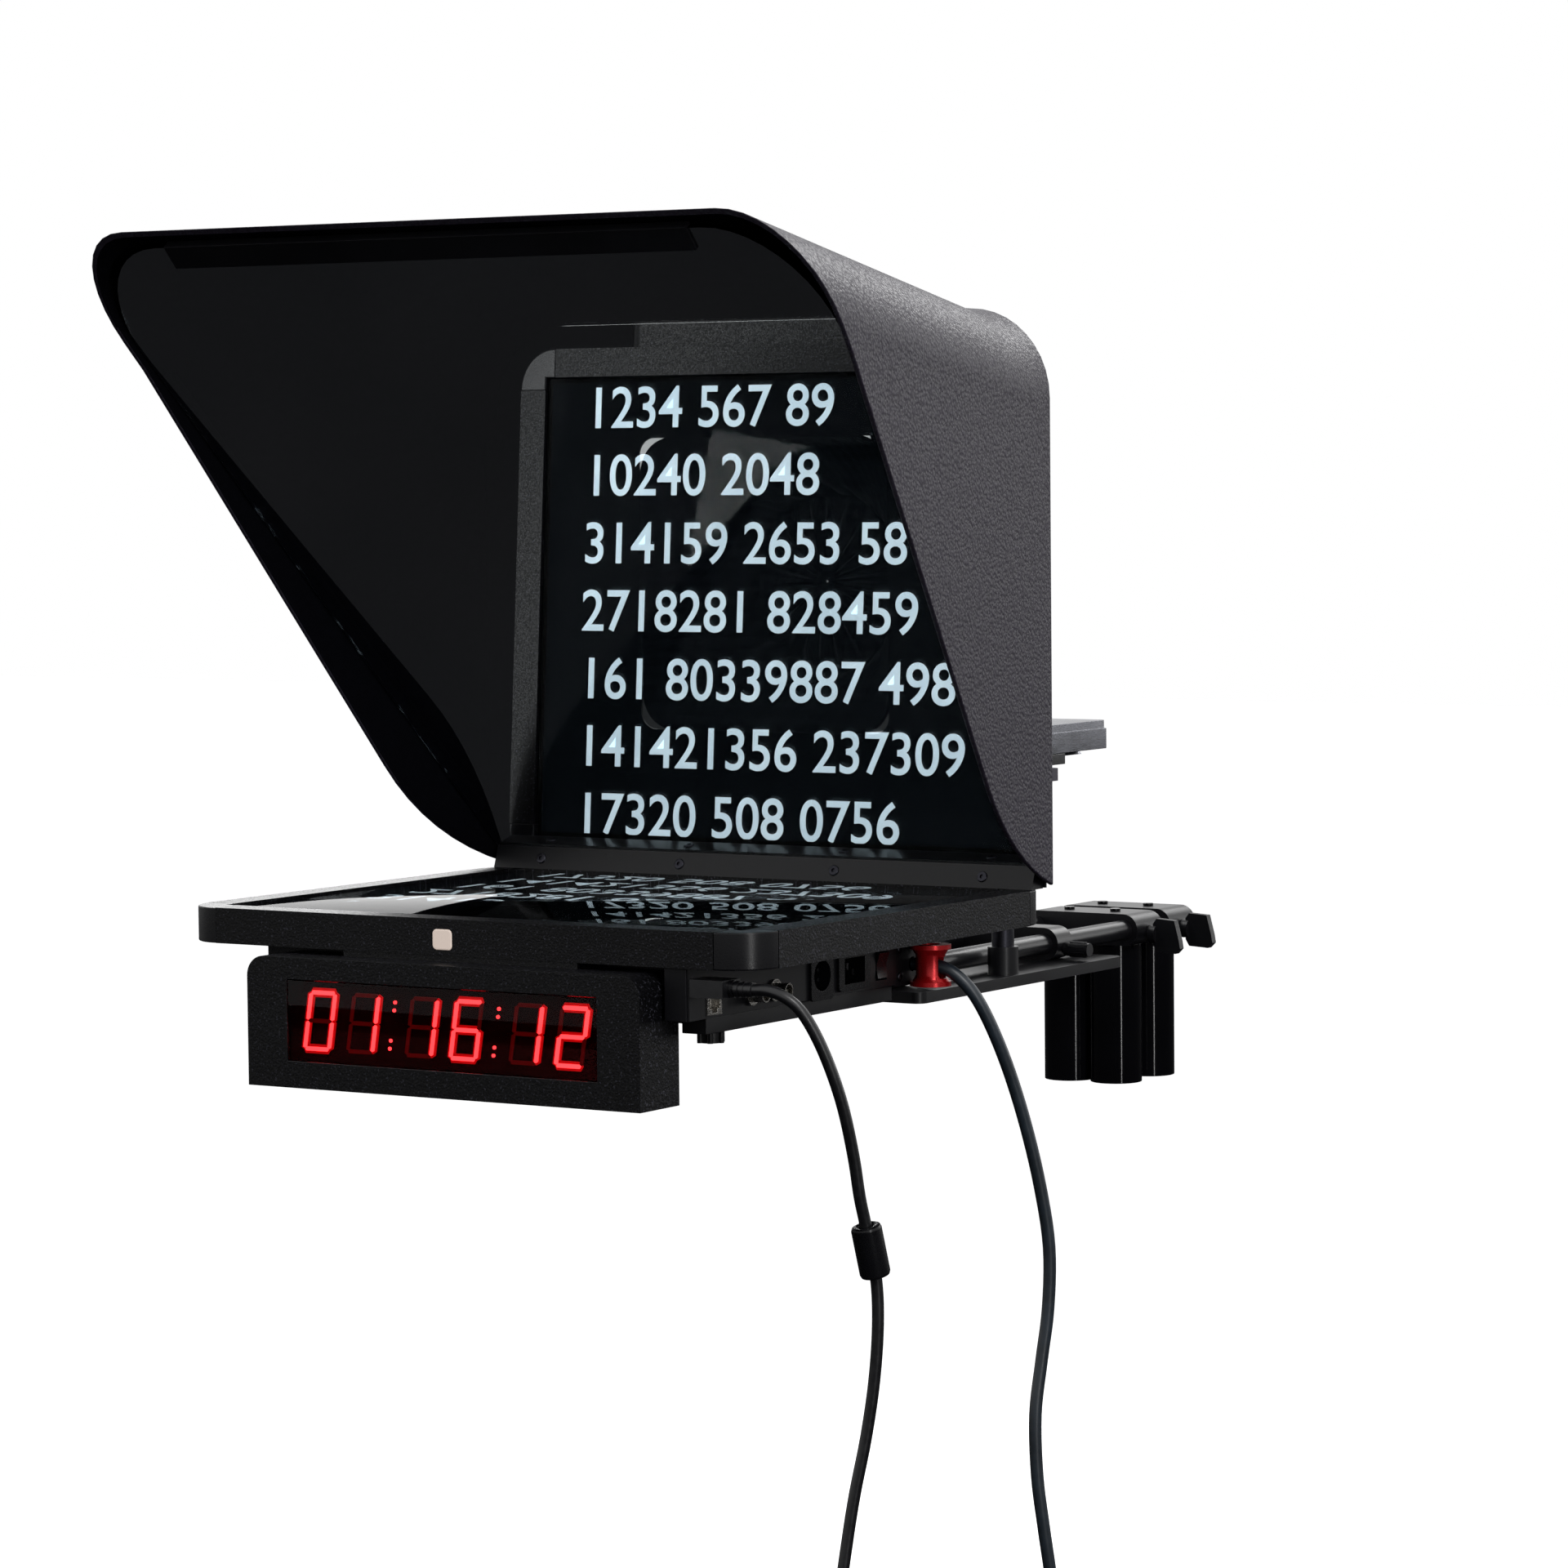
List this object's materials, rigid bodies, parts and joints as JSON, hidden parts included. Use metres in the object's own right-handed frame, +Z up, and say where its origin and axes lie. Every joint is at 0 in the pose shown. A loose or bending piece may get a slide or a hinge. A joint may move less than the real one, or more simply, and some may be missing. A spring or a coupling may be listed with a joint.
{
  "type": "studio teleprompter",
  "caption": "Studio teleprompter: flat monitor under an angled beam-splitter glass in a dark hood, with a clock and a counterweighted rod carriage",
  "frame": {"origin": "centre of the main mounting hole, at the underside of the base plate that sits on a fluid head", "axes": "+X to the right side seen from the talent, +Y from the talent toward the camera along the rods, +Z up"},
  "size_m": [0.5833, 0.937, 1.1466],
  "materials": {
    "black_anodised": "satin black anodised",
    "powder_black": "fine speckled powder coat",
    "cap_plastic": "smooth moulded",
    "hood_abs": "leather grain",
    "gloss_black": "glossy black",
    "steel_dark": "dark satin",
    "silver": "satin silver",
    "head_grey": "matte anodised",
    "knob_plastic": "smooth moulded",
    "panel_black": "smooth matte",
    "black_plastic": "moulded",
    "jack_metal": "nickel plated",
    "board_green": "board",
    "screen": "glossy",
    "lamp": "frosted",
    "window_red": "tinted clear",
    "digits": "lit",
    "red_anodised": "satin red anodised",
    "glass": "polished",
    "cloth": "woven",
    "cord_black": "smooth",
    "cord_grey": "smooth sheen",
    "frame_black": "matte"
  },
  "bodies": {
    "base": {"base_plate": "black_anodised", "base_clamps": "black_anodised", "rods": "black_anodised", "rod_caps": "knob_plastic", "riser_columns": "steel_dark"},
    "base_knob_1": {"base_knob_front": "knob_plastic"},
    "base_knob_2": {"base_knob_rear": "knob_plastic"},
    "riser": {"riser_head": "head_grey", "rail_clamp": "black_anodised"},
    "riser_knob_1": {"riser_knob_right": "knob_plastic"},
    "riser_knob_2": {"riser_knob_left": "knob_plastic"},
    "lever": {"rail_lever": "knob_plastic"},
    "plate": {"camera_plate": "silver"},
    "plate_screw": {"camera_screw": "steel_dark"},
    "weight_carriage_1": {"weight_block_front": "black_anodised", "weights_front": "gloss_black"},
    "wing_1": {"wing_knob_front": "knob_plastic"},
    "weight_carriage_2": {"weight_block_rear": "black_anodised", "weights_rear": "gloss_black"},
    "wing_2": {"wing_knob_rear": "knob_plastic"},
    "carriage_knob_1": {"carriage_knob_front": "knob_plastic"},
    "carriage_knob_2": {"carriage_knob_rear": "knob_plastic"},
    "rocker": {"power_switch": "black_plastic"},
    "prompter": {"carriage_plate": "black_anodised", "carriage_clamps": "black_anodised", "back_tray": "frame_black", "frame_rails": "powder_black", "corner_caps": "cap_plastic", "lcd_panel": "screen", "tally_lamp": "lamp", "signal_box": "frame_black", "connector_panel": "panel_black", "electronics": "board_green", "data_jacks": "jack_metal", "bnc_jacks": "jack_metal", "xlr_inlet": "black_plastic", "mains_inlet": "black_plastic", "clock_housing": "powder_black", "clock_back": "frame_black", "clock_window": "window_red", "clock_display": "digits", "cable_block": "panel_black", "cable_holder": "red_anodised", "glass_bar": "black_anodised", "screws": "steel_dark", "beam_glass": "glass", "top_strip": "frame_black", "hood_frame": "frame_black", "rear_panel": "frame_black", "hood": "hood_abs", "lens_shroud": "cloth", "video_plug": "cord_black", "video_cord": "cord_black", "ferrite_bead": "black_plastic", "video_coil": "cord_black", "video_end_plug": "cord_black", "mains_cord": "cord_grey", "mains_coil": "cord_grey", "mains_plug": "cord_grey"}
  },
  "joints": [
    {"name": "prompter_slide", "type": "slide", "parent": "base", "child": "prompter", "axis": [0, 1, 0], "range_m": [-0.04, 0.035]},
    {"name": "base_knob_front_turn", "type": "hinge", "parent": "base", "child": "base_knob_1", "pos_m": [0.05, -0.035, 0.016], "axis": [1, 0, 0], "range_deg": [0, 360]},
    {"name": "base_knob_rear_turn", "type": "hinge", "parent": "base", "child": "base_knob_2", "pos_m": [0.05, 0.184, 0.016], "axis": [1, 0, 0], "range_deg": [0, 360]},
    {"name": "carriage_knob_front_turn", "type": "hinge", "parent": "prompter", "child": "carriage_knob_1", "pos_m": [0.0375, -0.382, 0.005], "axis": [0, 0, -1], "range_deg": [0, 360]},
    {"name": "carriage_knob_rear_turn", "type": "hinge", "parent": "prompter", "child": "carriage_knob_2", "pos_m": [0.0375, -0.27, 0.005], "axis": [0, 0, -1], "range_deg": [0, 360]},
    {"name": "power_rocker", "type": "hinge", "parent": "prompter", "child": "rocker", "pos_m": [0.169, -0.274, 0.051], "axis": [0, -1, 0], "range_deg": [0, 10]},
    {"name": "riser_height", "type": "slide", "parent": "base", "child": "riser", "axis": [0, 0, 1], "range_m": [-0.02, 0.02]},
    {"name": "riser_knob_right_turn", "type": "hinge", "parent": "riser", "child": "riser_knob_1", "pos_m": [0.0735, 0.075, 0.115], "axis": [1, 0, 0], "range_deg": [0, 360]},
    {"name": "riser_knob_left_turn", "type": "hinge", "parent": "riser", "child": "riser_knob_2", "pos_m": [-0.0735, 0.075, 0.115], "axis": [-1, 0, 0], "range_deg": [0, 360]},
    {"name": "rail_lever_turn", "type": "hinge", "parent": "riser", "child": "lever", "pos_m": [0.05, 0.03, 0.15485], "axis": [-1, 0, 0], "range_deg": [0, 80]},
    {"name": "plate_slide", "type": "slide", "parent": "riser", "child": "plate", "axis": [0, 1, 0], "range_m": [-0.04, 0.06]},
    {"name": "camera_screw_turn", "type": "hinge", "parent": "plate", "child": "plate_screw", "pos_m": [0, 0.24, 0.157], "axis": [0, 0, -1], "range_deg": [0, 360]},
    {"name": "weight_front_slide", "type": "slide", "parent": "base", "child": "weight_carriage_1", "axis": [0, 1, 0], "range_m": [-0.06, 0.004]},
    {"name": "wing_knob_front_turn", "type": "hinge", "parent": "weight_carriage_1", "child": "wing_1", "pos_m": [0.05, 0.314, 0.016], "axis": [1, 0, 0], "range_deg": [0, 360]},
    {"name": "weight_rear_slide", "type": "slide", "parent": "base", "child": "weight_carriage_2", "axis": [0, 1, 0], "range_m": [-0.004, 0.006]},
    {"name": "wing_knob_rear_turn", "type": "hinge", "parent": "weight_carriage_2", "child": "wing_2", "pos_m": [0.05, 0.366, 0.016], "axis": [1, 0, 0], "range_deg": [0, 360]}
  ]
}
